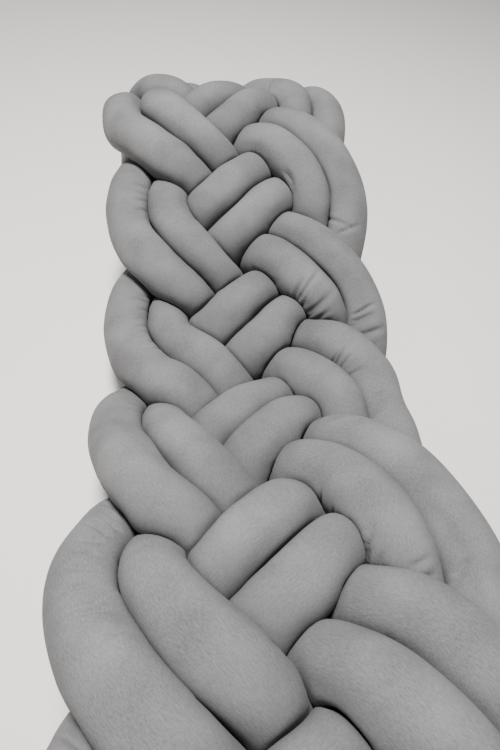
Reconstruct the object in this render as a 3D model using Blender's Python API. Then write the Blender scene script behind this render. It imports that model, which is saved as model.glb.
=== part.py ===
"""A braided crib bumper: eight stuffed jersey tubes, paired into four strands that are
plaited flat. The braid lies on a surface with both of its ends folded under, sags to the
surface in its middle and rests there. Metres, +Z up, origin at the bottom centre."""

import itertools
import math
from collections import namedtuple

import bpy
import numpy as np
from mathutils.bvhtree import BVHTree

# Driving sizes, in metres.
TUBE = 0.046  # diameter of one stuffed tube
ROW = 3.05 * TUBE  # one row of the braid, measured along its middle
SWING = 2.17 * TUBE  # how far a strand's middle swings out to each side
RISE = 0.46 * TUBE  # how far a strand rises over a crossing, and dips under one
PAIR = 1.02 * TUBE  # between the middles of a strand's two tubes, before they settle
PLUMP = 0.53 * TUBE  # radius of a tube's section if nothing pressed it out of round
WIDEST = 0.60 * TUBE  # most that a pressed section bulges from its middle
GAP = 0.0006  # clearance left between neighbouring tubes

# The braid's own form.
STRANDS = 4
TURN_SHARPNESS = -0.42  # over 0 the runs are straighter than a sine swing, under 0 more rounded
CROSSING_FLATNESS = 1.3  # the higher, the longer a strand stays at the top of a crossing
WEAVE = (0.207, 0.78, -0.427)  # shares of the first, third and fifth sine in its height
EDGE_LIFT = 0.34 * TUBE  # how far the thin edges curl up over the braid's middle

# The way the braid lies, one line for each place where that changes. Rows are counted toward
# the near end from the one on the far crest. The slope is the way the braid heads as it
# comes nearer, in degrees over the horizontal: 180 leads away again, under the other layer.
# The shift of its middle to the right is in tube diameters, and the width and the length of
# a row are shares of the usual ones.
Place = namedtuple("Place", "row slope shift width length")
LAY = (
    Place(-2.20, 180, 0.10, 0.90, 1.00),  # far tail, on the surface
    Place(-1.30, 182, -0.30, 0.98, 0.82),
    Place(-0.60, 73, -0.49, 1.06, 0.80),  # far fold
    Place(0.00, -1, -0.37, 1.09, 0.89),  # far crest
    Place(0.50, -15, -0.21, 1.04, 1.04),
    Place(1.00, -23, -0.08, 1.03, 1.08),  # slope down to the surface
    Place(2.00, -20, 0.13, 1.03, 1.05),
    Place(3.00, 26, 0.23, 0.97, 1.20),  # lifting off the surface
    Place(4.00, 15, 0.39, 1.01, 1.09),
    Place(5.25, 1, 0.50, 1.01, 0.94),  # near crest
    Place(5.75, -90, 0.50, 0.96, 1.10),  # near fold
    Place(6.25, -180, 0.50, 0.96, 0.95),
    Place(7.20, -180, 0.40, 0.90, 1.00),  # near tail, on the surface
)
# Single turns that lie off the even plait, to the side of their tube a, in tube diameters.
Nudge = namedtuple("Nudge", "strand tube row aside")
NUDGES = (
    Nudge(1, "a", 0.75, -0.38),
    Nudge(1, "a", 1.35, 0.25),
    Nudge(1, "a", 3.90, 0.20),
    Nudge(1, "a", 4.75, -0.18),
    Nudge(1, "b", -0.10, -0.27),
    Nudge(1, "b", 0.75, -0.34),
    Nudge(1, "b", 1.35, 0.38),
    Nudge(1, "b", 4.75, -0.37),
    Nudge(2, "a", 1.75, -0.28),
    Nudge(2, "a", 4.00, 0.33),
    Nudge(2, "b", 2.35, -0.27),
    Nudge(2, "b", 4.00, 0.25),
    Nudge(3, "a", -0.65, 0.38),
    Nudge(3, "b", 0.15, 0.17),
    Nudge(3, "b", 1.90, 0.20),
    Nudge(3, "b", 2.75, -0.25),
    Nudge(3, "b", 4.15, -0.24),
    Nudge(4, "a", 0.35, 0.16),
    Nudge(4, "a", 4.35, 0.32),
    Nudge(4, "b", 0.35, 0.39),
    Nudge(4, "b", 2.00, -0.22),
    Nudge(4, "b", 2.90, 0.35),
    Nudge(4, "b", 5.15, -0.27),
)
NUDGE_REACH = 0.7  # rows over which a nudge fades out
TAIL_LIFT = 0.96 * TUBE  # height of the tails' middle
EASE = 0.4  # rows over which one line of the table changes into the next
LINE_POINTS = 1901  # points along the braid's middle

# Settling of the tubes against each other and on the surface.
CLOSEST = 0.86 * TUBE  # middles of two tubes that press on each other
LOWEST = 0.44 * TUBE  # middle of a tube that is pressed on the surface
PUSH = 1.2  # share of what two tubes lack in distance that one turn gives them
PULL_BACK = 0.1  # share of the way back to the plaited form, in each turn
SETTLE_TURNS = 50
SEARCH_TURNS = 10  # turns between two searches for tubes that touch
SEARCH_REACH = 1.3 * TUBE

# Meshes.
STATIONS = 150  # points along each tube's middle while it settles
RINGS = 76  # cross-sections of each tube in its mesh
SIDES = 8  # corners of each cross-section
END_ROUND = 0.75 * TUBE  # length over which a closed end rounds off
OWN_STATIONS = 9  # a tube is pushed off itself only beyond this many stations,
OWN_REACH = 3.2 * TUBE  # and flattened by itself only beyond this distance along it
NEIGHBOUR_REACH = 2.2 * TUBE
EASE_TURNS = 80
EASE_STEP = 0.0003
NEAR_ZERO = 1e-6


def column(name, rows):
    """One column of the table at each of these evenly spaced row numbers, eased."""
    values = np.interp(rows, [p.row for p in LAY], [getattr(p, name) for p in LAY])
    half = round(EASE / (rows[1] - rows[0]) / 2)
    padded = np.pad(values, half, mode="edge")
    window = np.full(2 * half + 1, 1.0 / (2 * half + 1))
    return np.convolve(padded, window, mode="valid")


def middle_line():
    """The braid's middle: row numbers, and there its distance from the far tip, its place
    forward and up, its heading, its shift and its width."""
    rows = np.linspace(LAY[0].row, LAY[-1].row, LINE_POINTS)
    heading = np.radians(column("slope", rows))
    step = ROW * column("length", rows) * (rows[1] - rows[0])
    run = np.cumsum(step) - step[0]
    y = -np.cumsum(np.cos(heading) * step)
    z = np.cumsum(np.sin(heading) * step)
    z += TAIL_LIFT - z[0]
    return rows, run, y, z, heading, column("shift", rows) * TUBE, column("width", rows)


def swing(phase):
    """Sideways place of a strand, 1 at the left edge and -1 at the right, two rows apart. The
    third cosine, a ninth as strong, is what turns a wave into straight runs."""
    angle = phase * math.pi / 2
    bend = TURN_SHARPNESS / 3**2
    return (np.cos(angle) + bend * np.cos(3 * angle)) / (1 + bend)


def crossing_height(phase):
    """Height of a strand over the braid's middle, from -1 to 1: going right it passes over,
    under and over, and going left under, over and under."""
    angle = phase * math.pi / 2
    weave = sum(share * np.sin((2 * i + 1) * angle) for i, share in enumerate(WEAVE))
    return np.tanh(CROSSING_FLATNESS * weave) / math.tanh(CROSSING_FLATNESS)


def nudged(rows, strand, tube):
    """How far this tube lies off the even plait at each row number."""
    off = np.zeros_like(rows)
    for nudge in NUDGES:
        if (nudge.strand, nudge.tube) == (strand + 1, tube):
            away = np.clip((rows - nudge.row) / NUDGE_REACH, -1, 1)
            off += nudge.aside * TUBE * (1 + np.cos(math.pi * away)) / 2
    return off


def plaited_paths():
    """Middles of the eight tubes as plaited, before they settle against each other."""
    rows, run, y, z, heading, shift, width = middle_line()
    along = np.gradient(run)
    # Where the braid drifts sideways, what lies right or left of its middle turns with it.
    lean = np.gradient(shift) / along
    paths = []
    for strand in range(STRANDS):
        phase = rows - strand
        off = -SWING * width * swing(phase)
        across = shift + off
        side = np.gradient(across)
        length = np.hypot(along, side)
        height = RISE * crossing_height(phase) + EDGE_LIFT * swing(phase) ** 2
        for tube, hand in (("a", 0.5), ("b", -0.5)):
            # The pair lies side by side, so each tube is set off square to the strand's way.
            aside = hand * PAIR + nudged(rows, strand, tube)
            x = across - aside * along / length
            nearer = aside * side / length - off * lean
            y_tube = y - np.cos(heading) * nearer + np.sin(heading) * height
            z_tube = z + np.sin(heading) * nearer + np.cos(heading) * height
            paths.append(np.stack([x, y_tube, z_tube], axis=1))
    return [evenly(path, STATIONS) for path in paths]


def evenly(path, count):
    """The path's points again, this many and evenly spaced."""
    lengths = np.linalg.norm(np.diff(path, axis=0), axis=1)
    run = np.concatenate([[0.0], np.cumsum(lengths)])
    at = np.linspace(0.0, run[-1], count)
    return np.stack([np.interp(at, run, path[:, i]) for i in range(3)], axis=1)


def touching_pairs(points, reach):
    """Pairs of stations nearer than reach that belong to different tubes or to parts of one
    tube that lie far apart along it."""
    tube = np.repeat(np.arange(len(points) // STATIONS), STATIONS)
    place = np.tile(np.arange(STATIONS), len(points) // STATIONS)
    square = (points**2).sum(axis=1)
    far2 = square[:, None] + square[None, :] - 2 * points @ points.T
    first, second = np.nonzero(np.triu(far2 < reach**2, 1))
    far_along = np.abs(place[first] - place[second]) > OWN_STATIONS
    apart = (tube[first] != tube[second]) | far_along
    return first[apart], second[apart]


def smoothed(lines):
    """Each line's points evened out with their two neighbours on either side."""
    smooth = lines.copy()
    inner = 10 * lines[:, 2:-2] + 4 * (lines[:, 1:-3] + lines[:, 3:-1])
    smooth[:, 2:-2] = (inner - lines[:, :-4] - lines[:, 4:]) / 16
    return smooth


def settle(paths):
    """Tubes pushed apart where they would run into each other, and kept smooth."""
    start = np.concatenate(paths)
    points = start.copy()
    for turn in range(SETTLE_TURNS):
        if turn % SEARCH_TURNS == 0:
            first, second = touching_pairs(points, SEARCH_REACH)
        offset = points[second] - points[first]
        far = np.linalg.norm(offset, axis=1)
        push = np.maximum(CLOSEST - far, 0.0)[:, None] * offset / far[:, None]
        moved = np.zeros_like(points)
        hits = np.zeros(len(points))
        for index, sign in ((first, -0.5), (second, 0.5)):
            np.add.at(moved, index, sign * push)
            np.add.at(hits, index, (far < CLOSEST).astype(float))
        points += moved / np.maximum(hits, 1.0)[:, None] * PUSH
        points[:, 2] = np.maximum(points[:, 2], LOWEST)
        points = smoothed(points.reshape(-1, STATIONS, 3)).reshape(-1, 3)
        points += PULL_BACK * (start - points)
    return list(points.reshape(-1, STATIONS, 3))


def frames_along(path):
    """Two directions square to the path and to each other, turned as little as can be."""
    tangent = np.gradient(path, axis=0)
    tangent /= np.linalg.norm(tangent, axis=1)[:, None]
    up = np.array([0.0, 0.0, 1.0])
    ups = []
    for each in tangent:
        up = up - each * (up @ each)
        up = up / np.linalg.norm(up)
        ups.append(up)
    ups = np.array(ups)
    return np.cross(tangent, ups), ups


def end_share(run, length):
    """Share of the full thickness near a tube's closed ends, rounded like a bolster's."""
    inward = min(run, length - run, END_ROUND) / END_ROUND
    return math.sqrt(max(1 - (1 - inward) ** 2, 0.0))


def section_limits(centre, ray, others):
    """How far each ray may reach: to the middle plane to a neighbour, or to the surface."""
    offset = others - centre
    far = np.linalg.norm(offset, axis=1)
    near = far < NEIGHBOUR_REACH
    offset, far = offset[near], far[near]
    toward = np.maximum(ray @ offset.T, NEAR_ZERO)
    limit = ((far**2 / 2 - GAP * far / 2) / toward).min(axis=1, initial=1.0)
    down = np.maximum(-ray[:, 2], NEAR_ZERO)
    return np.minimum(limit, centre[2] / down)


def sections(index, paths):
    """Cross-sections along one tube: their middles, the rays to their corners, and how far
    each corner lies out, pressed flat where the tube meets the others and the surface."""
    fine = [evenly(path, 3 * STATIONS) for path in paths]
    centre = evenly(paths[index], RINGS)
    length = np.linalg.norm(np.diff(centre, axis=0), axis=1).sum()
    run = np.linspace(0.0, length, RINGS)
    side, up = frames_along(centre)
    angle = (np.arange(SIDES) + 0.5) * 2 * math.pi / SIDES
    ray = np.cos(angle)[:, None] * side[:, None, :] + np.sin(angle)[:, None] * up[:, None, :]
    rest = np.concatenate([each for i, each in enumerate(fine) if i != index])
    own = fine[index]
    own_run = np.linspace(0.0, length, len(own))
    full = math.pi * PLUMP**2
    wedge = math.sin(2 * math.pi / SIDES) / 2
    reach = np.empty((RINGS, SIDES))
    for i in range(RINGS):
        others = np.concatenate([rest, own[np.abs(own_run - run[i]) > OWN_REACH]])
        limit = section_limits(centre[i], ray[i], others)
        radius = PLUMP
        for _ in range(4):
            pressed = np.minimum(radius, limit)
            area = (pressed * np.roll(pressed, 1)).sum() * wedge
            radius = min(radius * math.sqrt(full / area), WIDEST)
        reach[i] = np.minimum(radius * end_share(run[i], length), limit)
    return centre, ray, reach


def tube_mesh(centre, ray, reach):
    """Points and triangles of a tube closed around its sections, with a point at each end."""
    corners = centre[:, None, :] + reach[:, :, None] * ray
    points = np.concatenate([centre[:1], corners[1:-1].reshape(-1, 3), centre[-1:]])
    rings = RINGS - 2
    last = len(points) - 1
    faces = []
    for k in range(SIDES):
        after = (k + 1) % SIDES
        faces.append((0, 1 + k, 1 + after))
        for low in range(1, 1 + (rings - 1) * SIDES, SIDES):
            high = low + SIDES
            faces.append((low + k, high + after, low + after))
            faces.append((low + k, high + k, high + after))
        base = 1 + (rings - 1) * SIDES
        faces.append((last, base + after, base + k))
    return points, faces


def ease_apart(tubes):
    """Draws in the corners of the sections wherever two tubes' flat triangles would meet or
    come nearer than the gap, a little at a time until all of them are clear."""
    for _ in range(EASE_TURNS):
        trees, corner_of = [], []
        for centre, ray, reach in tubes:
            points, faces = tube_mesh(centre, ray, reach + GAP / 2)
            trees.append(BVHTree.FromPolygons(points.tolist(), faces, all_triangles=True))
            corner_of.append(np.array(faces) - 1)
        clear = True
        for a, b in itertools.combinations(range(len(tubes)), 2):
            hits = trees[a].overlap(trees[b])
            if not hits:
                continue
            clear = False
            for tube, struck in zip((a, b), zip(*hits)):
                corners = np.unique(corner_of[tube][list(struck)])
                corners = corners[(corners >= 0) & (corners < (RINGS - 2) * SIDES)]
                tubes[tube][2][1:-1].reshape(-1)[corners] -= EASE_STEP
        if clear:
            return
    raise RuntimeError("some tubes still meet")


def add_tube(name, points, faces, material):
    """One tube's object."""
    mesh = bpy.data.meshes.new(name)
    mesh.from_pydata(points.tolist(), [], faces)
    mesh.materials.append(material)
    mesh.shade_smooth()
    tube = bpy.data.objects.new(name, mesh)
    bpy.context.scene.collection.objects.link(tube)
    return tube


def jersey():
    """Soft grey brushed jersey."""
    material = bpy.data.materials.new("grey_jersey")
    material.use_nodes = True
    shader = material.node_tree.nodes["Principled BSDF"]
    shader.inputs["Base Color"].default_value = (0.33, 0.325, 0.33, 1.0)
    shader.inputs["Roughness"].default_value = 0.95
    shader.inputs["Metallic"].default_value = 0.0
    return material


def centred(meshes):
    """The same meshes with the middle of the box around them over the origin."""
    everything = np.concatenate([points for points, faces in meshes])
    middle = (everything.min(axis=0) + everything.max(axis=0)) / 2
    return [(points - (middle[0], middle[1], 0.0), faces) for points, faces in meshes]


def main():
    for old in list(bpy.data.objects):
        bpy.data.objects.remove(old)
    material = jersey()
    paths = settle(plaited_paths())
    tubes = [sections(index, paths) for index in range(len(paths))]
    ease_apart(tubes)
    for index, (points, faces) in enumerate(centred([tube_mesh(*tube) for tube in tubes])):
        strand, hand = divmod(index, 2)
        add_tube(f"strand_{strand + 1}_tube_{'ab'[hand]}", points, faces, material)


main()
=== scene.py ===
"""The looks of the braided crib bumper: eight stuffed sleeves of brushed grey jersey around the
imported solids, on a pale floor under soft light. Metres, +Z up."""

import math
import random
from collections import namedtuple

import bpy
import numpy as np
from mathutils import Matrix, Vector


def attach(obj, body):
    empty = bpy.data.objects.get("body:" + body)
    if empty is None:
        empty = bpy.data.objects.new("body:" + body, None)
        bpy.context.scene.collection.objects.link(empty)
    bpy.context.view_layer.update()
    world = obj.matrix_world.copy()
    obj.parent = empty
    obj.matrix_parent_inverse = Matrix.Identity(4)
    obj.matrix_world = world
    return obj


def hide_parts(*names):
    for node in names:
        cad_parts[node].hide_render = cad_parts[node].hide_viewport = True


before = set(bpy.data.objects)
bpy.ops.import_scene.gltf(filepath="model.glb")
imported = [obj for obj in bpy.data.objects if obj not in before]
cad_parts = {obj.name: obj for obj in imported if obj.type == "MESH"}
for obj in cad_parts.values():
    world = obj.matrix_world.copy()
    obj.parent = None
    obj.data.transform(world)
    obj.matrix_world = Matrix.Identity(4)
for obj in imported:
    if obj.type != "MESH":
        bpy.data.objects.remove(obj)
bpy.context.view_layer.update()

# Driving sizes of the braid, those of the solids, in metres.
TUBE = 0.046  # diameter of one stuffed tube
ROW = 3.05 * TUBE  # one row of the braid, measured along its middle
SWING = 2.17 * TUBE  # how far a strand's middle swings out to each side
RISE = 0.46 * TUBE  # how far a strand rises over a crossing, and dips under one
PAIR = 1.02 * TUBE  # between the middles of a strand's two tubes, before they settle
PLUMP = 0.53 * TUBE  # radius of a tube's section if nothing pressed it out of round
WIDEST = 0.60 * TUBE  # most that a pressed section bulges from its middle
TO_ORIGIN = (0.0041, -0.2681, 0.0)  # taken off every point, to be where the solids are

# The braid's own form.
STRANDS = 4
TURN_SHARPNESS = -0.42  # over 0 the runs are straighter than a sine swing, under 0 more rounded
CROSSING_FLATNESS = 1.3  # the higher, the longer a strand stays at the top of a crossing
WEAVE = (0.207, 0.78, -0.427)  # shares of the first, third and fifth sine in its height
EDGE_LIFT = 0.34 * TUBE  # how far the thin edges curl up over the braid's middle

# The way the braid lies, one line for each place where that changes. Rows are counted toward
# the near end from the one on the far crest. The slope is the way the braid heads as it
# comes nearer, in degrees over the horizontal: 180 leads away again, under the other layer.
# The shift of its middle to the right is in tube diameters, and the width and the length of
# a row are shares of the usual ones.
Place = namedtuple("Place", "row slope shift width length")
LAY = (
    Place(-2.20, 180, 0.10, 0.90, 1.00),  # far tail, on the surface
    Place(-1.30, 182, -0.30, 0.98, 0.82),
    Place(-0.60, 73, -0.49, 1.06, 0.80),  # far fold
    Place(0.00, -1, -0.37, 1.09, 0.89),  # far crest
    Place(0.50, -15, -0.21, 1.04, 1.04),
    Place(1.00, -23, -0.08, 1.03, 1.08),  # slope down to the surface
    Place(2.00, -20, 0.13, 1.03, 1.05),
    Place(3.00, 26, 0.23, 0.97, 1.20),  # lifting off the surface
    Place(4.00, 15, 0.39, 1.01, 1.09),
    Place(5.25, 1, 0.50, 1.01, 0.94),  # near crest
    Place(5.75, -90, 0.50, 0.96, 1.10),  # near fold
    Place(6.25, -180, 0.50, 0.96, 0.95),
    Place(7.20, -180, 0.40, 0.90, 1.00),  # near tail, on the surface
)
# Single turns that lie off the even plait, to the side of their tube a, in tube diameters.
Nudge = namedtuple("Nudge", "strand tube row aside")
NUDGES = (
    Nudge(1, "a", 0.75, -0.38),
    Nudge(1, "a", 1.35, 0.25),
    Nudge(1, "a", 3.90, 0.20),
    Nudge(1, "a", 4.75, -0.18),
    Nudge(1, "b", -0.10, -0.27),
    Nudge(1, "b", 0.75, -0.34),
    Nudge(1, "b", 1.35, 0.38),
    Nudge(1, "b", 4.75, -0.37),
    Nudge(2, "a", 1.75, -0.28),
    Nudge(2, "a", 4.00, 0.33),
    Nudge(2, "b", 2.35, -0.27),
    Nudge(2, "b", 4.00, 0.25),
    Nudge(3, "a", -0.65, 0.38),
    Nudge(3, "b", 0.15, 0.17),
    Nudge(3, "b", 1.90, 0.20),
    Nudge(3, "b", 2.75, -0.25),
    Nudge(3, "b", 4.15, -0.24),
    Nudge(4, "a", 0.35, 0.16),
    Nudge(4, "a", 4.35, 0.32),
    Nudge(4, "b", 0.35, 0.39),
    Nudge(4, "b", 2.00, -0.22),
    Nudge(4, "b", 2.90, 0.35),
    Nudge(4, "b", 5.15, -0.27),
)
NUDGE_REACH = 0.7  # rows over which a nudge fades out
TAIL_LIFT = 0.96 * TUBE  # height of the tails' middle
EASE = 0.4  # rows over which one line of the table changes into the next
LINE_POINTS = 1901  # points along the braid's middle

# Settling of the tubes against each other and on the surface.
CLOSEST = 0.86 * TUBE  # middles of two tubes that press on each other
LOWEST = 0.44 * TUBE  # middle of a tube that is pressed on the surface
PUSH = 1.2  # share of what two tubes lack in distance that one turn gives them
PULL_BACK = 0.1  # share of the way back to the plaited form, in each turn
SETTLE_TURNS = 50
SEARCH_TURNS = 10  # turns between two searches for tubes that touch
SEARCH_REACH = 1.3 * TUBE  # within which they are looked for
STATIONS = 150  # points along each tube's middle while it settles
OWN_STATIONS = 9  # a tube is pushed off itself only beyond this many stations,
OWN_REACH = 3.2 * TUBE  # and flattened by itself only beyond this distance along it
FINE_STATIONS = 3 * STATIONS  # points along a tube's middle as it presses on its neighbours
NEIGHBOUR_REACH = 2.2 * TUBE  # within which another tube can press on a section
NEAR_ZERO = 1e-6

# Sleeves. A sleeve is worked on as a grid of points, a row of SIDES points for each of its
# rings, from its first closed tip to its second one. The finished grid has twice as many
# points both ways.
RINGS = 641
SIDES = 24
GAP = 0.0002  # clearance between neighbouring sleeves
FREE_REACH = 1.0  # how far a ray may go that meets no neighbour
SOFTNESS = 40  # the lower, the rounder a sleeve turns from its free side into a pressed one
PRESS_TURNS = 6  # turns in which a pressed section finds back the area it had when round
END_ROUND = 0.75 * TUBE  # length over which a closed end rounds off
EVEN_RINGS = 12  # rings over which a sleeve's thickness changes
EVEN_PATH = 3.6  # rings over which its middle is evened out
PRESSED_DEEP = 0.10  # share of its radius that a sleeve gives way by where it is held fast
Sleeve = namedtuple("Sleeve", "name run centre ray near reach held")

# The stuffing's push on the jersey, as a cloth under pressure.
FRAMES = 20  # of the simulation
WORKED_AT = 20  # how many times as large it is worked out, for steady cloth
HOLD_STEPS = 10  # steps between a point that is free and one that is held fast
MOST_SWELL = 0.002  # furthest that the stuffing may push a point of the jersey out
MOST_SAG = 0.0002  # and furthest that it may draw one in
STUFFING = {
    "quality": 4,
    "mass": 0.1,
    "tension_stiffness": 15.0,
    "compression_stiffness": 15.0,
    "shear_stiffness": 5.0,
    "bending_stiffness": 0.05,
    "tension_damping": 1.0,
    "compression_damping": 1.0,
    "shear_damping": 1.0,
    "air_damping": 1.0,
    "use_pressure": True,
    "uniform_pressure_force": 40.0,
    "vertex_group_mass": "held",
    "pin_stiffness": 1.0,
}

# Creases, in fans that stand where a sleeve is squeezed at a turn. A fan's creases start evenly
# spread from run to to_run, in metres along the sleeve, at this turn around it, in degrees. Each
# reaches so many degrees further around, and leans so many metres along the sleeve on its way.
# Deep and wide are in millimetres, and a crease of negative depth is a ridge.
Fan = namedtuple("Fan", "sleeve run to_run turn reach lean count deep wide")
FANS = (
    Fan("1a", 0.79, 0.85, 235, 80, -0.010, 8, 4.0, 2.0),
    Fan("1a", 1.20, 1.25, 272, -70, -0.012, 7, 5.0, 2.4),
    Fan("1a", 1.25, 1.34, 260, -45, 0.000, 7, 4.2, 2.0),
    Fan("1a", 1.30, 1.31, 310, 0, 0.050, 1, -2.8, 8.0),  # a ridge
    Fan("1b", 0.83, 0.88, 275, 60, -0.010, 6, 4.0, 2.0),
    Fan("1b", 1.27, 1.29, 250, -30, 0.000, 1, 3.5, 2.0),
    Fan("2a", 0.59, 0.65, 350, -50, 0.006, 5, 3.0, 1.7),
    Fan("2a", 1.40, 1.42, 300, -70, -0.010, 2, 5.0, 3.0),
    Fan("2b", 1.03, 1.09, 250, 45, -0.010, 6, 4.0, 1.9),
    Fan("2b", 1.27, 1.30, 235, 40, 0.003, 2, 3.0, 1.8),
    Fan("3a", 0.36, 0.37, 80, 60, -0.008, 1, 4.0, 2.2),
    Fan("3a", 0.77, 0.88, 170, -45, 0.006, 8, 3.0, 1.6),
    Fan("3a", 1.15, 1.18, 15, 60, 0.000, 2, 4.0, 1.8),
    Fan("3a", 1.21, 1.24, 70, 30, -0.012, 6, 4.0, 2.0),
    Fan("3a", 1.23, 1.26, 130, 40, -0.003, 4, 3.5, 2.1),
    Fan("3b", 0.79, 0.80, 160, -35, -0.006, 1, 3.0, 2.0),
    Fan("3b", 1.09, 1.11, 140, 30, 0.010, 2, 3.0, 2.2),
    Fan("3b", 1.25, 1.27, 90, 30, -0.006, 2, 4.0, 2.0),
    Fan("4a", 0.68, 0.71, 140, 10, -0.030, 2, 3.5, 1.9),
    Fan("4a", 1.07, 1.16, 200, -50, 0.006, 4, 3.2, 1.9),
    Fan("4b", 0.67, 0.69, 80, 120, 0.020, 1, 2.5, 2.4),
    Fan("4b", 0.70, 0.71, 170, 40, -0.012, 2, 3.0, 2.0),
)
FAN_PLACE = (0.2, 0.8)  # where a crease starts in its own share of the fan
FAN_TURN = (-12, 12)  # degrees that it starts off the fan's turn
FAN_UNEVEN = (0.7, 1.3)  # its reach and its depth, as shares of the fan's
FAN_WIDE = (0.85, 1.15)  # its width, as a share of the fan's

# Small pleats, which come by themselves on the inner side of a tight bend.
EVEN_BEND = 5.0  # rings over which a bend counts
GATHER_PITCH = 0.0065  # between the pleats where a bend squeezes the jersey most
GATHER_SPACING = (0.6, 1.6)  # shares of the pitch from one pleat to the next
GATHER_FROM = 0.20  # share of its length by which the jersey is squeezed where pleats begin
GATHER_FULL = 0.46  # and where every pleat has folded
GATHER_TURN = (-15, 15)  # degrees that a pleat starts off the inner side's middle
GATHER_REACH = (75, 150)  # degrees around the sleeve, and half as many where pleats begin
GATHER_SLANT = 0.006  # most that its end lies off its start, along the sleeve
GATHER_DEEP = (1.0, 3.2)  # millimetres
GATHER_WIDE = (1.6, 3.0)  # millimetres
GATHER_LEAST = 0.4  # share of its depth that a pleat has where pleats begin

# The section of every crease, and the stuffing's own unevenness.
Crease = namedtuple("Crease", "run turn to_run to_turn deep wide")
HELD_DEEP = 0.5  # share of a crease's length over which it keeps its depth
RIDGE = 0.25  # of a trough's depth that the ridges beside it rise
RIDGE_SPREAD = 2.2  # width of trough and ridges together, as a multiple of the trough's
CREASE_ENDS = 3  # such widths beyond its ends, up to which a crease is worked out
LUMP_DEEP = 0.0006  # how uneven the stuffing is
LUMP_WAVES = 9  # that cross each other in one sleeve
LUMP_SIZES = (0.035, 0.09)  # from one lump to the next
# Finished points around a sleeve that the painted shade beside a neighbour spreads over, a
# painted stand-in for the shadow between pressed sleeves. Along it, twice as many.
PAINTED_SHADE_SPREAD = 8

# Jersey.
WALE_SLANT = math.radians(38)  # of the wales to the sleeve's length
WALE_STRETCH = 3.2  # how many times as long as wide a wale's marks are
WALES_A_METRE = 330.0
NAP_A_METRE = 900.0
CLOUDS_A_METRE = 22.0
NAP_SHARE = 0.45  # of the nap in the grain, the rest being the wales
CLOUD_SHARE = 0.4  # of the clouds in the tone, the rest being the grain
# Each is the tone at which a colour is reached, and the colour.
JERSEY_TONES = ((0.36, (0.118, 0.1175, 0.120)), (0.64, (0.232, 0.2305, 0.233)))
# Painted shade: a dark colour mixed into the jersey where sleeves meet, standing in for the
# shadow in the crevices between them.
PAINTED_SHADE_COLOUR = (0.075, 0.075, 0.078)
PAINTED_SHADE_SHARE = 0.95  # share of the painted shade colour mixed into the jersey where sleeves meet
JERSEY_ROUGHNESS = (0.86, 1.0)
NAP_HEIGHT = 0.0006
NAP_STRENGTH = 0.35
JERSEY_GLOSS = {
    "Sheen Weight": 0.04,
    "Sheen Roughness": 0.45,
    "Sheen Tint": (1, 0.97, 0.97, 1),
    "Specular IOR Level": 0.2,
}

# Studio.
FLOOR_SIZE = 12.0
FLOOR_MIDDLE = (0, 3, -0.0003)  # just under the sleeves
FLOOR_COLOUR = (0.90, 0.875, 0.83, 1)
FLOOR_ROUGHNESS = 0.6
SKY_COLOUR = (0.95, 0.97, 1.0, 1)
SKY_STRENGTH = 0.13
SoftBox = namedtuple("SoftBox", "name place size watts")
SOFT_BOXES = (
    SoftBox("overhead", (-0.15, 0.15, 1.65), 0.35, 57),
    SoftBox("near_left", (-1.0, -0.7, 1.3), 0.5, 4),
)
SOFT_BOX_COLOUR = (1, 0.985, 0.965)

# Camera, over the near end.
CAMERA_PLACE = (-0.0397, -0.3353, 0.5190)
PITCH, YAW, ROLL = 51.61, 6.59, -5.92  # degrees down, to the right and around the view
SENSOR = 36.0  # millimetres
PHOTO_HEIGHT = 750  # pixels
FOCAL_PIXELS = 563.0  # focal length, in pixels of the photo
LENS = SENSOR * FOCAL_PIXELS / PHOTO_HEIGHT
CLIP_START = 0.01


def column(name, rows):
    """One column of the table at each of these evenly spaced row numbers, eased."""
    values = np.interp(rows, [p.row for p in LAY], [getattr(p, name) for p in LAY])
    half = round(EASE / (rows[1] - rows[0]) / 2)
    padded = np.pad(values, half, mode="edge")
    window = np.full(2 * half + 1, 1.0 / (2 * half + 1))
    return np.convolve(padded, window, mode="valid")


def middle_line():
    """The braid's middle: row numbers, and there its distance from the far tip, its place
    forward and up, its heading, its shift and its width."""
    rows = np.linspace(LAY[0].row, LAY[-1].row, LINE_POINTS)
    heading = np.radians(column("slope", rows))
    step = ROW * column("length", rows) * (rows[1] - rows[0])
    run = np.cumsum(step) - step[0]
    y = -np.cumsum(np.cos(heading) * step)
    z = np.cumsum(np.sin(heading) * step)
    z += TAIL_LIFT - z[0]
    return rows, run, y, z, heading, column("shift", rows) * TUBE, column("width", rows)


def swing(phase):
    """Sideways place of a strand, 1 at the left edge and -1 at the right, two rows apart. The
    third cosine, a ninth as strong, is what turns a wave into straight runs."""
    angle = phase * math.pi / 2
    bend = TURN_SHARPNESS / 3**2
    return (np.cos(angle) + bend * np.cos(3 * angle)) / (1 + bend)


def crossing_height(phase):
    """Height of a strand over the braid's middle, from -1 to 1: going right it passes over,
    under and over, and going left under, over and under."""
    angle = phase * math.pi / 2
    weave = sum(share * np.sin((2 * i + 1) * angle) for i, share in enumerate(WEAVE))
    return np.tanh(CROSSING_FLATNESS * weave) / math.tanh(CROSSING_FLATNESS)


def nudged(rows, strand, tube):
    """How far this tube lies off the even plait at each row number."""
    off = np.zeros_like(rows)
    for nudge in NUDGES:
        if (nudge.strand, nudge.tube) == (strand + 1, tube):
            away = np.clip((rows - nudge.row) / NUDGE_REACH, -1, 1)
            off += nudge.aside * TUBE * (1 + np.cos(math.pi * away)) / 2
    return off


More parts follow.
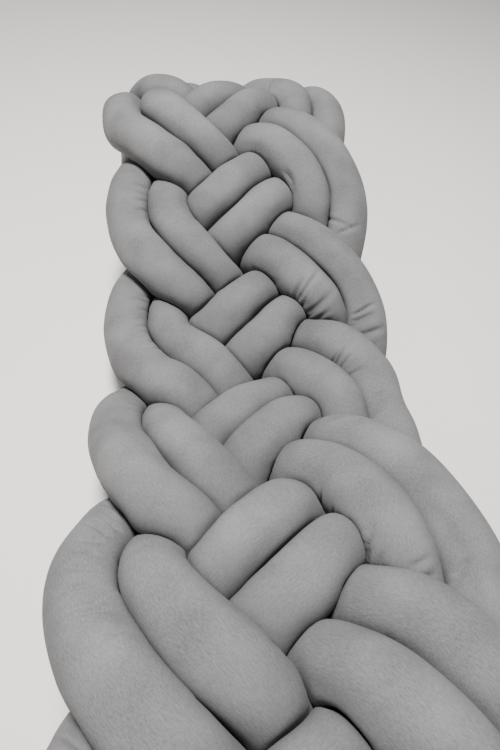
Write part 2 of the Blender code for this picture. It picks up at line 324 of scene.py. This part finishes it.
def plaited_paths():
    """Middles of the eight tubes as plaited, before they settle against each other."""
    rows, run, y, z, heading, shift, width = middle_line()
    along = np.gradient(run)
    # Where the braid drifts sideways, what lies right or left of its middle turns with it.
    lean = np.gradient(shift) / along
    paths = []
    for strand in range(STRANDS):
        phase = rows - strand
        off = -SWING * width * swing(phase)
        across = shift + off
        side = np.gradient(across)
        length = np.hypot(along, side)
        height = RISE * crossing_height(phase) + EDGE_LIFT * swing(phase) ** 2
        for tube, hand in (("a", 0.5), ("b", -0.5)):
            # The pair lies side by side, so each tube is set off square to the strand's way.
            aside = hand * PAIR + nudged(rows, strand, tube)
            x = across - aside * along / length
            nearer = aside * side / length - off * lean
            y_tube = y - np.cos(heading) * nearer + np.sin(heading) * height
            z_tube = z + np.sin(heading) * nearer + np.cos(heading) * height
            paths.append(np.stack([x, y_tube, z_tube], axis=1))
    return [evenly(path, STATIONS) for path in paths]


def evenly(path, count):
    """The path's points again, this many and evenly spaced."""
    lengths = np.linalg.norm(np.diff(path, axis=0), axis=1)
    run = np.concatenate([[0.0], np.cumsum(lengths)])
    at = np.linspace(0.0, run[-1], count)
    return np.stack([np.interp(at, run, path[:, i]) for i in range(3)], axis=1)


def touching_pairs(points, reach):
    """Pairs of stations nearer than reach that belong to different tubes or to parts of one
    tube that lie far apart along it."""
    tube = np.repeat(np.arange(len(points) // STATIONS), STATIONS)
    place = np.tile(np.arange(STATIONS), len(points) // STATIONS)
    square = (points**2).sum(axis=1)
    far2 = square[:, None] + square[None, :] - 2 * points @ points.T
    first, second = np.nonzero(np.triu(far2 < reach**2, 1))
    far_along = np.abs(place[first] - place[second]) > OWN_STATIONS
    apart = (tube[first] != tube[second]) | far_along
    return first[apart], second[apart]


def smoothed(lines):
    """Each line's points evened out with their two neighbours on either side."""
    smooth = lines.copy()
    inner = 10 * lines[:, 2:-2] + 4 * (lines[:, 1:-3] + lines[:, 3:-1])
    smooth[:, 2:-2] = (inner - lines[:, :-4] - lines[:, 4:]) / 16
    return smooth


def settle(paths):
    """Tubes pushed apart where they would run into each other, and kept smooth."""
    start = np.concatenate(paths)
    points = start.copy()
    for turn in range(SETTLE_TURNS):
        if turn % SEARCH_TURNS == 0:
            first, second = touching_pairs(points, SEARCH_REACH)
        offset = points[second] - points[first]
        far = np.linalg.norm(offset, axis=1)
        push = np.maximum(CLOSEST - far, 0.0)[:, None] * offset / far[:, None]
        moved = np.zeros_like(points)
        hits = np.zeros(len(points))
        for index, sign in ((first, -0.5), (second, 0.5)):
            np.add.at(moved, index, sign * push)
            np.add.at(hits, index, (far < CLOSEST).astype(float))
        points += moved / np.maximum(hits, 1.0)[:, None] * PUSH
        points[:, 2] = np.maximum(points[:, 2], LOWEST)
        points = smoothed(points.reshape(-1, STATIONS, 3)).reshape(-1, 3)
        points += PULL_BACK * (start - points)
    return list(points.reshape(-1, STATIONS, 3))


def frames_along(path):
    """Two directions square to the path and to each other, turned as little as can be."""
    tangent = np.gradient(path, axis=0)
    tangent /= np.linalg.norm(tangent, axis=1)[:, None]
    up = np.array([0.0, 0.0, 1.0])
    ups = []
    for each in tangent:
        up = up - each * (up @ each)
        up = up / np.linalg.norm(up)
        ups.append(up)
    ups = np.array(ups)
    return np.cross(tangent, ups), ups


def end_share(run, length):
    """Share of the full thickness near a sleeve's closed ends, rounded like a bolster's."""
    inward = np.minimum(np.minimum(run, length - run), END_ROUND) / END_ROUND
    return np.sqrt(np.maximum(1 - (1 - inward) ** 2, 0.0))


def room(centre, ray, near):
    """How far each ray may reach: to the middle plane to a neighbour, or to the surface."""
    offset = near - centre
    far = np.linalg.norm(offset, axis=1)
    toward = np.maximum(ray @ offset.T, NEAR_ZERO)
    limit = ((far**2 / 2 - GAP * far / 2) / toward).min(axis=1, initial=FREE_REACH)
    down = np.maximum(-ray[:, 2], NEAR_ZERO)
    return np.minimum(limit, centre[2] / down)


def softer_of(free, limit):
    """The smaller of the two, with a rounded change from one to the other."""
    return (free**-SOFTNESS + limit**-SOFTNESS) ** (-1 / SOFTNESS)


def evened(values, rings):
    """A sleeve's values ring by ring, evened out along it over about so many rings."""
    # Beyond three times as far the weight is next to nothing.
    half = round(3 * rings)
    weight = np.exp(-0.5 * (np.arange(-half, half + 1) / rings) ** 2)
    ends = (2 * values[0] - values[half:0:-1], 2 * values[-1] - values[-2 : -2 - half : -1])
    padded = np.concatenate([ends[0], values, ends[1]])
    return np.convolve(padded, weight / weight.sum(), mode="valid")


def rounded(radius, limit):
    """The radius at which a ring pressed by these limits has the area of a free one, or the
    most that a ring may have."""
    full = math.pi * PLUMP**2
    wedge = math.sin(2 * math.pi / SIDES) / 2
    for _ in range(PRESS_TURNS):
        pressed = softer_of(radius, limit)
        area = (pressed * np.roll(pressed, 1)).sum() * wedge
        radius = min(radius * math.sqrt(full / area), WIDEST)
    return radius


def sleeve_form(index, paths):
    """One sleeve around its path, pressed by its neighbours and by the surface."""
    fine = [evenly(path, FINE_STATIONS) for path in paths]
    centre = evenly(paths[index], RINGS)
    centre = np.stack([evened(line, EVEN_PATH) for line in centre.T], axis=1)
    run = np.concatenate([[0.0], np.cumsum(np.linalg.norm(np.diff(centre, axis=0), axis=1))])
    side, up = frames_along(centre)
    angle = np.arange(SIDES) * 2 * math.pi / SIDES
    ray = np.cos(angle)[:, None] * side[:, None, :] + np.sin(angle)[:, None] * up[:, None, :]
    rest = np.concatenate([each for i, each in enumerate(fine) if i != index])
    own = fine[index]
    own_run = np.linspace(0.0, run[-1], len(own))
    limit = np.zeros((RINGS, SIDES))
    radius = np.zeros(RINGS)
    near = []
    for i in range(RINGS):
        others = np.concatenate([rest, own[np.abs(own_run - run[i]) > OWN_REACH]])
        others = others[np.linalg.norm(others - centre[i], axis=1) < NEIGHBOUR_REACH]
        near.append(others)
        limit[i] = room(centre[i], ray[i], others)
        radius[i] = rounded(PLUMP, limit[i])
    radius = (evened(radius, EVEN_RINGS) * end_share(run, run[-1]))[:, None]
    reach = softer_of(np.maximum(radius, NEAR_ZERO), limit)
    reach[[0, -1]] = 0
    held = np.clip((radius / limit - 1) / PRESSED_DEEP, 0, 1)
    strand, hand = divmod(index, 2)
    name = f"sleeve_{strand + 1}{'ab'[hand]}"
    return Sleeve(name, run, centre, ray, near, reach, held)


def grid_points(sleeve):
    """The sleeve's points, ring by ring."""
    return sleeve.centre[:, None, :] + sleeve.reach[:, :, None] * sleeve.ray


def grid_mesh(name, grid):
    """A closed mesh over a grid whose first and last ring are one point each."""
    rings, sides = grid.shape[:2]
    points = np.concatenate([grid[:1, 0], grid[1:-1].reshape(-1, 3), grid[-1:, 0]])
    last = len(points) - 1
    faces = []
    for k in range(sides):
        after = (k + 1) % sides
        faces.append((0, 1 + k, 1 + after))
        for low in range(1, 1 + (rings - 3) * sides, sides):
            faces.append((low + k, low + sides + k, low + sides + after, low + after))
        base = 1 + (rings - 3) * sides
        faces.append((last, base + after, base + k))
    mesh = bpy.data.meshes.new(name)
    mesh.from_pydata(points.tolist(), [], faces)
    mesh.validate()
    return mesh


def grid_of(points):
    """The points of a mesh made by grid_mesh, put back on a sleeve's grid."""
    tip = np.ones((1, SIDES, 1))
    inner = points[1:-1].reshape(RINGS - 2, SIDES, 3)
    return np.concatenate([points[:1][:, None] * tip, inner, points[-1:][:, None] * tip])


def cloth_shape(sleeve):
    """A large copy of a sleeve's mesh as cloth, held where its neighbours press it flat."""
    mesh = grid_mesh(sleeve.name + "_cloth", grid_points(sleeve) * WORKED_AT)
    shape = bpy.data.objects.new(mesh.name, mesh)
    bpy.context.scene.collection.objects.link(shape)
    holds = shape.vertex_groups.new(name="held")
    weights = np.concatenate([[1.0], sleeve.held[1:-1].ravel(), [1.0]])
    for step in range(1, HOLD_STEPS + 1):
        found = np.nonzero(np.round(weights * HOLD_STEPS) == step)[0]
        holds.add(found.tolist(), step / HOLD_STEPS, "REPLACE")
    cloth = shape.modifiers.new("stuffing", "CLOTH")
    for name, value in STUFFING.items():
        setattr(cloth.settings, name, value)
    cloth.settings.effector_weights.gravity = 0.0
    cloth.collision_settings.use_collision = False
    cloth.point_cache.frame_start = 1
    cloth.point_cache.frame_end = FRAMES
    return shape


def stuff(sleeves):
    """Cloth simulation: where a sleeve isn't held, the stuffing swells it. Gives each sleeve's
    swollen grid."""
    scene = bpy.context.scene
    shapes = [cloth_shape(sleeve) for sleeve in sleeves]
    for at in range(1, FRAMES + 1):
        scene.frame_set(at)
    graph = bpy.context.evaluated_depsgraph_get()
    grids = []
    for shape in shapes:
        swollen = shape.evaluated_get(graph)
        points = np.empty(len(swollen.data.vertices) * 3, np.float32)
        swollen.data.vertices.foreach_get("co", points)
        grids.append(grid_of(points.reshape(-1, 3).astype(float)) / WORKED_AT)
    for shape in shapes:
        bpy.data.objects.remove(shape)
    scene.frame_set(1)
    return grids


def kept_in_room(sleeve, grid):
    """The grid again, where each point has moved straight out or in only, and no further than
    the room that its neighbours leave it."""
    moved = ((grid - grid_points(sleeve)) * sleeve.ray).sum(axis=2)
    reach = sleeve.reach + np.clip(moved, -MOST_SAG, MOST_SWELL)
    for i in range(1, RINGS - 1):
        reach[i] = np.minimum(reach[i], room(sleeve.centre[i], sleeve.ray[i], sleeve.near[i]))
    return sleeve.centre[:, None, :] + reach[:, :, None] * sleeve.ray


def between(grid, axis, around):
    """Twice as many points along this axis of the grid, the new ones on a smooth curve through
    the two old points on either side."""
    grid = np.moveaxis(grid, axis, 0)
    if around:
        before, after, later = np.roll(grid, 1, 0), np.roll(grid, -1, 0), np.roll(grid, -2, 0)
        middle = (9 * (grid + after) - before - later) / 16
        both = np.stack([grid, middle], axis=1).reshape(-1, *grid.shape[1:])
    else:
        ends = np.concatenate([grid[:1], grid, grid[-1:]])
        middle = (9 * (ends[1:-2] + ends[2:-1]) - ends[:-3] - ends[3:]) / 16
        both = np.empty((2 * len(grid) - 1, *grid.shape[1:]))
        both[::2], both[1::2] = grid, middle
    return np.moveaxis(both, 0, axis)


def refined(grid):
    """The finished grid, with twice as many points along the sleeve and around it."""
    return between(between(grid, 0, False), 1, True)


def bends(sleeve):
    """The share by which each bend squeezes the jersey on its inner side, ring by ring, and the
    turn around the sleeve where that side is."""
    along = np.gradient(sleeve.run)[:, None]
    way = np.gradient(sleeve.centre, axis=0) / along
    bend = np.gradient(way, axis=0) / along
    bend = np.stack([evened(line, EVEN_BEND) for line in bend.T], axis=1)
    side, up = sleeve.ray[:, 0], sleeve.ray[:, SIDES // 4]
    toward = np.arctan2((bend * up).sum(axis=1), (bend * side).sum(axis=1))
    return np.linalg.norm(bend, axis=1) * PLUMP, np.unwrap(toward)


def gathers(sleeve, chance):
    """Small pleats on the inner sides of the bends, each a pair of creases that run out from
    the middle of the inner side."""
    squeeze, toward = bends(sleeve)
    ready = np.clip((squeeze - GATHER_FROM) / (GATHER_FULL - GATHER_FROM), 0, 1)
    found = []
    run = END_ROUND
    while run < sleeve.run[-1] - END_ROUND:
        run += GATHER_PITCH * chance.uniform(*GATHER_SPACING)
        folded = np.interp(run, sleeve.run, ready)
        if chance.random() > folded:
            continue
        inner = math.degrees(np.interp(run, sleeve.run, toward))
        turn = inner + chance.uniform(*GATHER_TURN)
        for hand in (-1, 1):
            to_turn = turn + hand * chance.uniform(*GATHER_REACH) * (0.5 + folded / 2)
            to_run = run + chance.uniform(-GATHER_SLANT, GATHER_SLANT)
            deep = chance.uniform(*GATHER_DEEP) * (GATHER_LEAST + (1 - GATHER_LEAST) * folded)
            wide = chance.uniform(*GATHER_WIDE)
            found.append(Crease(run, turn, to_run, to_turn, deep, wide))
    return found


def fanned(fan, chance):
    """One fan's creases, each a little off its even place."""
    found = []
    for k in range(fan.count):
        share = (k + chance.uniform(*FAN_PLACE)) / fan.count
        run = fan.run + share * (fan.to_run - fan.run)
        turn = fan.turn + chance.uniform(*FAN_TURN)
        to_run = run + fan.lean + chance.uniform(-GATHER_SLANT, GATHER_SLANT) / 2
        to_turn = turn + fan.reach * chance.uniform(*FAN_UNEVEN)
        deep = fan.deep * chance.uniform(*FAN_UNEVEN)
        wide = fan.wide * chance.uniform(*FAN_WIDE)
        found.append(Crease(run, turn, to_run, to_turn, deep, wide))
    return found


def pressed_in(creases, run, turn):
    """How far these creases press a sleeve's points in. Each is a soft trough between low
    ridges, deep at its start and gone at its end."""
    depth = np.zeros((len(run), len(turn)))
    for crease in creases:
        deep, wide = crease.deep / 1000, crease.wide / 1000
        spread = wide * RIDGE_SPREAD
        ends = sorted((crease.run, crease.to_run))
        past = CREASE_ENDS * spread
        first, last = np.searchsorted(run, (ends[0] - past, ends[1] + past))
        # The jersey around the crease, laid out flat: along the sleeve and around it.
        ahead = run[first:last, None] - crease.run
        around = (turn - math.radians(crease.turn) + math.pi) % (2 * math.pi) - math.pi
        around = around[None] * PLUMP
        long_way = crease.to_run - crease.run
        round_way = math.radians(crease.to_turn - crease.turn) * PLUMP
        length = math.hypot(long_way, round_way)
        share = (ahead * long_way + around * round_way) / length**2
        off = (ahead * round_way - around * long_way) / length
        fade = np.clip((1 - share) / (1 - HELD_DEEP), 0, 1)
        fade = fade**2 * (3 - 2 * fade) * np.exp(-((np.minimum(share, 0) * length / wide) ** 2))
        trough = np.exp(-((off / wide) ** 2)) - RIDGE * np.exp(-((off / spread) ** 2))
        depth[first:last] += deep * fade * trough
    return depth


def lumps(points, chance):
    """Soft unevenness of the stuffing: a few long waves that cross each other at random."""
    height = np.zeros(points.shape[:2])
    for _ in range(LUMP_WAVES):
        way = np.array([chance.gauss(0, 1) for _ in range(3)])
        way *= 2 * math.pi / chance.uniform(*LUMP_SIZES) / np.linalg.norm(way)
        height += np.sin(points @ way + chance.uniform(0, 2 * math.pi))
    return height * LUMP_DEEP * math.sqrt(2 / LUMP_WAVES)


def painted_shade_beside_neighbours(sleeve):
    """How strongly each finished point is painted in shade beside a neighbour close by, 0 to 1:
    painted shade that stands in for the shadow between sleeves.
    """
    near = refined(sleeve.held[:, :, None])[:, :, 0]
    for _ in range(PAINTED_SHADE_SPREAD):
        near = (np.roll(near, 1, axis=1) + 2 * near + np.roll(near, -1, axis=1)) / 4
    near = np.stack([evened(line, 2 * PAINTED_SHADE_SPREAD) for line in near.T], axis=1)
    return np.clip(near, 0, 1)


def creased(sleeve, grid, chance):
    """The finished grid with its creases pressed in and its stuffing a little uneven."""
    rings, sides = grid.shape[:2]
    share = np.linspace(0, 1, rings)
    base = np.linspace(0, 1, RINGS)
    run = np.interp(share, base, sleeve.run)
    turn = np.arange(sides) * 2 * math.pi / sides
    creases = gathers(sleeve, chance)
    for fan in FANS:
        if fan.sleeve == sleeve.name[-2:]:
            creases += fanned(fan, chance)
    depth = pressed_in(creases, run, turn) - lumps(grid, chance)
    # Where a neighbour holds the sleeve, nothing stands out over it.
    held = refined(sleeve.held[:, :, None])[:, :, 0]
    depth = np.where(depth < 0, depth * np.clip(1 - held, 0, 1), depth)
    depth *= end_share(run, run[-1])[:, None]
    centre = np.stack([np.interp(share, base, line) for line in sleeve.centre.T], axis=1)
    out = grid - centre[:, None]
    length = np.maximum(np.linalg.norm(out, axis=2, keepdims=True), NEAR_ZERO)
    grid = grid - out / length * depth[:, :, None]
    grid[:, :, 2] = np.maximum(grid[:, :, 2], 0)
    return grid


def corner_turns(mesh, turn, sides):
    """How many sides around the sleeve each face corner lies. A face that crosses from the last
    side to the first one goes on counting, and a tip lies over the middle of its face."""
    corner = np.empty(len(mesh.loops), np.int32)
    mesh.loops.foreach_get("vertex_index", corner)
    total = np.empty(len(mesh.polygons), np.int32)
    mesh.polygons.foreach_get("loop_total", total)
    face = np.repeat(np.arange(len(total)), total)
    turns = turn[corner].astype(float)
    tip = (corner == 0) | (corner == len(turn) - 1)
    highest = np.zeros(len(total))
    np.maximum.at(highest, face, np.where(tip, -1, turns))
    lowest = np.full(len(total), float(sides))
    np.minimum.at(lowest, face, np.where(tip, sides, turns))
    crosses = (highest - lowest) > sides / 2
    turns[crosses[face] & (turns == 0) & ~tip] = sides
    turns[tip] = np.where(crosses, sides - 0.5, lowest + 0.5)[face[tip]]
    return corner, turns


def add_sleeve(sleeve, grid, nap, material):
    """The finished piece, with a map of its own: metres along it and around it, and with the
    painted shade beside its neighbours as a point attribute.
    """
    mesh = grid_mesh(sleeve.name, grid)
    rings, sides = grid.shape[:2]
    along = np.interp(np.linspace(0, 1, rings), np.linspace(0, 1, RINGS), sleeve.run)
    place = np.concatenate([[0], np.repeat(along[1:-1], sides), [along[-1]]])
    turn = np.concatenate([[0], np.tile(np.arange(sides), rings - 2), [0]])
    corner, turns = corner_turns(mesh, turn, sides)
    both = np.stack([place[corner], turns / sides * 2 * math.pi * PLUMP], axis=1)
    mesh.uv_layers.new(name="jersey").data.foreach_set("uv", both.astype(np.float32).ravel())
    # The nap argument holds painted shade, not nap: how far each point is darkened where a
    # neighbour lies close by, standing in for the shadow between sleeves.
    close = mesh.attributes.new("close_by", "FLOAT", "POINT")
    shares = np.concatenate([nap[:1, 0], nap[1:-1].ravel(), nap[-1:, 0]])
    close.data.foreach_set("value", shares.astype(np.float32))
    mesh.materials.append(material)
    mesh.shade_smooth()
    piece = bpy.data.objects.new(sleeve.name, mesh)
    bpy.context.scene.collection.objects.link(piece)
    return piece


def node(tree, kind, **values):
    """A shader node with these inputs and settings."""
    made = tree.nodes.new(kind)
    for name, value in values.items():
        if name in made.inputs:
            made.inputs[name].default_value = value
        else:
            setattr(made, name, value)
    return made


def noise(tree, where, **values):
    """The strength of a noise at these coordinates."""
    made = node(tree, "ShaderNodeTexNoise", **values)
    tree.links.new(where, made.inputs["Vector"])
    return made.outputs["Fac"]


def mixed(tree, first, second, share):
    """Two strengths in one, with this share of the second."""
    made = node(tree, "ShaderNodeMix", data_type="FLOAT", Factor=share)
    tree.links.new(first, made.inputs["A"])
    tree.links.new(second, made.inputs["B"])
    return made.outputs["Result"]


def jersey_colour(tree, tone):
    """The jersey's colour for this tone, with painted shade mixed in where a neighbour lies
    close by.
    """
    ramp = node(tree, "ShaderNodeValToRGB")
    tree.links.new(tone, ramp.inputs["Fac"])
    for stop, (at, colour) in zip(ramp.color_ramp.elements, JERSEY_TONES):
        stop.position, stop.color = at, (*colour, 1)
    # Painted shade: the colour darkens toward the painted shade colour where sleeves meet,
    # standing in for the shadow between them.
    close = node(tree, "ShaderNodeAttribute", attribute_name="close_by")
    share = node(tree, "ShaderNodeMath", operation="MULTIPLY")
    share.inputs[1].default_value = PAINTED_SHADE_SHARE
    tree.links.new(close.outputs["Fac"], share.inputs[0])
    beside = node(tree, "ShaderNodeMixRGB", Color2=(*PAINTED_SHADE_COLOUR, 1))
    tree.links.new(share.outputs["Value"], beside.inputs["Fac"])
    tree.links.new(ramp.outputs["Color"], beside.inputs["Color1"])
    return beside.outputs["Color"]


def jersey():
    """Brushed cotton jersey: fine wales that run askew over the sleeve, a short uneven nap, a
    tone that wanders a little, and painted shade where sleeves meet. The wales lie on the
    sleeve's own map, in metres."""
    material = bpy.data.materials.new("grey_jersey_nap")
    material.use_nodes = True
    tree = material.node_tree
    shader = tree.nodes["Principled BSDF"]
    for name, value in JERSEY_GLOSS.items():
        shader.inputs[name].default_value = value

    sleeve_map = node(tree, "ShaderNodeUVMap", uv_map="jersey")
    slanted = {"Rotation": (0, 0, WALE_SLANT), "Scale": (1, WALE_STRETCH, 1)}
    askew = node(tree, "ShaderNodeMapping", **slanted)
    tree.links.new(sleeve_map.outputs["UV"], askew.inputs["Vector"])
    place = node(tree, "ShaderNodeTexCoord").outputs["Object"]
    slant = askew.outputs["Vector"]
    wales = noise(tree, slant, Scale=WALES_A_METRE, Detail=2.0, Roughness=0.6)
    nap = noise(tree, place, Scale=NAP_A_METRE, Detail=3.0, Roughness=0.65)
    clouds = noise(tree, place, Scale=CLOUDS_A_METRE, Detail=2.0, Roughness=0.5)
    grain = mixed(tree, wales, nap, NAP_SHARE)
    colour = jersey_colour(tree, mixed(tree, grain, clouds, CLOUD_SHARE))
    tree.links.new(colour, shader.inputs["Base Color"])

    smoothest, roughest = JERSEY_ROUGHNESS
    rough = node(tree, "ShaderNodeMapRange", **{"To Min": smoothest, "To Max": roughest})
    tree.links.new(nap, rough.inputs["Value"])
    tree.links.new(rough.outputs["Result"], shader.inputs["Roughness"])
    bump = node(tree, "ShaderNodeBump", Strength=NAP_STRENGTH, Distance=NAP_HEIGHT)
    tree.links.new(grain, bump.inputs["Height"])
    tree.links.new(bump.outputs["Normal"], shader.inputs["Normal"])
    return material


def soft_light(soft_box):
    """A square light that faces the braid."""
    light = bpy.data.lights.new(soft_box.name, "AREA")
    light.energy = soft_box.watts
    light.size = soft_box.size
    light.color = SOFT_BOX_COLOUR
    lamp = bpy.data.objects.new(soft_box.name, light)
    bpy.context.scene.collection.objects.link(lamp)
    lamp.location = soft_box.place
    lamp.rotation_euler = (-Vector(soft_box.place)).to_track_quat("-Z", "Y").to_euler()


def camera():
    """The photo's view: from over the near end, looking down along the braid."""
    pitch, yaw, roll = (math.radians(angle) for angle in (PITCH, YAW, ROLL))
    level = math.cos(pitch)
    ahead = Vector((math.sin(yaw) * level, math.cos(yaw) * level, -math.sin(pitch)))
    right = Vector((math.cos(yaw), -math.sin(yaw), 0))
    down = ahead.cross(right)
    right, down = (
        right * math.cos(roll) + down * math.sin(roll),
        down * math.cos(roll) - right * math.sin(roll),
    )
    data = bpy.data.cameras.new("view")
    data.sensor_fit = "AUTO"
    data.sensor_width = SENSOR
    data.lens = LENS
    data.clip_start = CLIP_START
    view = bpy.data.objects.new("view", data)
    bpy.context.scene.collection.objects.link(view)
    columns = (right, -down, -ahead, Vector(CAMERA_PLACE))
    view.matrix_world = Matrix([[c[i] for c in columns] for i in range(3)] + [[0, 0, 0, 1]])
    bpy.context.scene.camera = view


def pale_floor():
    """Pale matt floor."""
    material = bpy.data.materials.new("pale_floor")
    material.use_nodes = True
    shader = material.node_tree.nodes["Principled BSDF"]
    shader.inputs["Base Color"].default_value = FLOOR_COLOUR
    shader.inputs["Roughness"].default_value = FLOOR_ROUGHNESS
    return material


def studio():
    """The floor, a little light all around, and two soft boxes."""
    bpy.ops.mesh.primitive_plane_add(size=FLOOR_SIZE, location=FLOOR_MIDDLE)
    floor = bpy.context.object
    floor.name = "floor"
    floor.data.materials.append(pale_floor())
    world = bpy.data.worlds.new("studio")
    bpy.context.scene.world = world
    world.use_nodes = True
    sky = world.node_tree.nodes["Background"]
    sky.inputs["Color"].default_value = SKY_COLOUR
    sky.inputs["Strength"].default_value = SKY_STRENGTH
    for soft_box in SOFT_BOXES:
        soft_light(soft_box)


def braid():
    """Middles of all tubes, moved to where the solids are."""
    return [path - TO_ORIGIN for path in settle(plaited_paths())]


def main():
    """The eight sleeves over their solids, then the floor, the lights and the camera."""
    bpy.ops.object.select_all(action="DESELECT")
    paths = braid()
    sleeves = [sleeve_form(index, paths) for index in range(len(paths))]
    grids = [kept_in_room(*both) for both in zip(sleeves, stuff(sleeves))]
    cloth = jersey()
    for index, (sleeve, grid) in enumerate(zip(sleeves, grids)):
        grid = creased(sleeve, refined(grid), random.Random(index))
        piece = add_sleeve(sleeve, grid, painted_shade_beside_neighbours(sleeve), cloth)
        strand, hand = sleeve.name[-2:]
        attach(piece, "root")
        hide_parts(f"strand_{strand}_tube_{hand}")
    studio()
    camera()


main()
